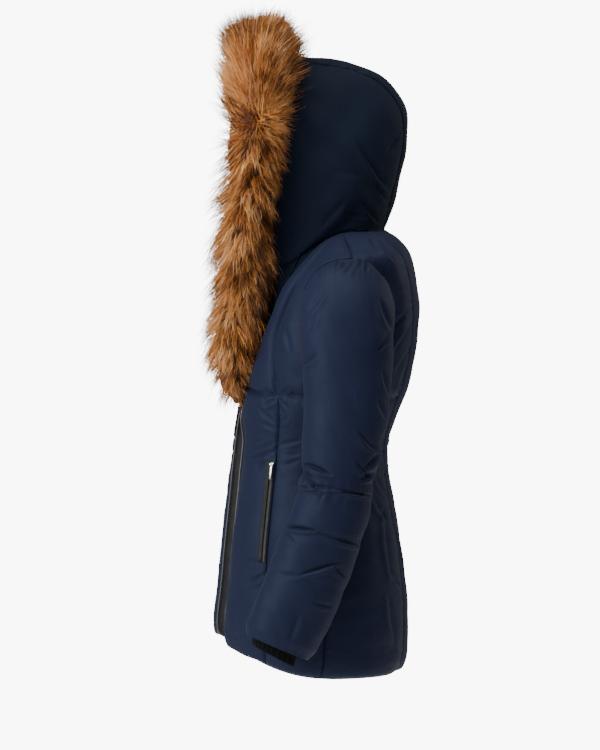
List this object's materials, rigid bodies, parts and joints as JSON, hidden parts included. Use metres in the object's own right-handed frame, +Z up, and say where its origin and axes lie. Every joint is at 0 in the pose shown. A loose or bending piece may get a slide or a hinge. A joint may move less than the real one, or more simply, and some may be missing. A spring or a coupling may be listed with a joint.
{
  "type": "fur trimmed parka",
  "caption": "Hip-length fitted down parka in worn shape, zipped to the chest, with long fur round the face edge of its hood, princess seams, zipped hip pockets and rib cuffs",
  "frame": {"origin": "between the shoulders at the root of the neck, where a wearer's back carries the coat", "axes": "+Z up, the front faces -Y, the wearer's left arm is at +X"},
  "size_m": [0.6082, 0.3585, 1.111],
  "materials": {
    "navy_shell": "satin",
    "fur": "matte",
    "black_rib": "matte",
    "black_leather": "satin",
    "zip_tape": "matte",
    "dark_metal": "satin",
    "bright_metal": "gloss"
  },
  "bodies": {
    "coat": {"back": "navy_shell", "collar_left": "navy_shell", "collar_right": "navy_shell", "cuff_left": "black_rib", "cuff_right": "black_rib", "front_left": "navy_shell", "front_right": "navy_shell", "fur_ruff": "fur", "hood_centre": "navy_shell", "hood_left": "navy_shell", "hood_right": "navy_shell", "main_slider": "dark_metal", "pocket_slider_left": "bright_metal", "pocket_slider_right": "bright_metal", "pocket_welt_left": "black_leather", "pocket_welt_right": "black_leather", "pocket_zip_left": "zip_tape", "pocket_zip_right": "zip_tape", "side_back_left": "navy_shell", "side_back_right": "navy_shell", "side_front_left": "navy_shell", "side_front_right": "navy_shell", "sleeve_lower_left": "navy_shell", "sleeve_lower_right": "navy_shell", "sleeve_upper_left": "navy_shell", "sleeve_upper_right": "navy_shell", "zip_facing_left": "black_leather", "zip_facing_right": "black_leather", "zip_tape_left": "zip_tape", "zip_tape_right": "zip_tape"},
    "main_pull": {"main_pull": "black_leather"},
    "pocket_pull_left": {"pocket_pull_left": "bright_metal"},
    "pocket_pull_right": {"pocket_pull_right": "bright_metal"}
  },
  "joints": [
    {"name": "main_pull_swing", "type": "hinge", "parent": "coat", "child": "main_pull", "pos_m": [0.00188, -0.17913, -0.2898], "axis": [-1, 0, 0], "range_deg": [0, 90]},
    {"name": "pocket_pull_left_swing", "type": "hinge", "parent": "coat", "child": "pocket_pull_left", "pos_m": [0.13649, -0.13665, -0.38047], "axis": [-0.4898, -0.8714, 0.0262], "range_deg": [0, 100]},
    {"name": "pocket_pull_right_swing", "type": "hinge", "parent": "coat", "child": "pocket_pull_right", "pos_m": [-0.13649, -0.13661, -0.38048], "axis": [-0.4939, 0.8692, -0.0246], "range_deg": [0, 100]}
  ]
}
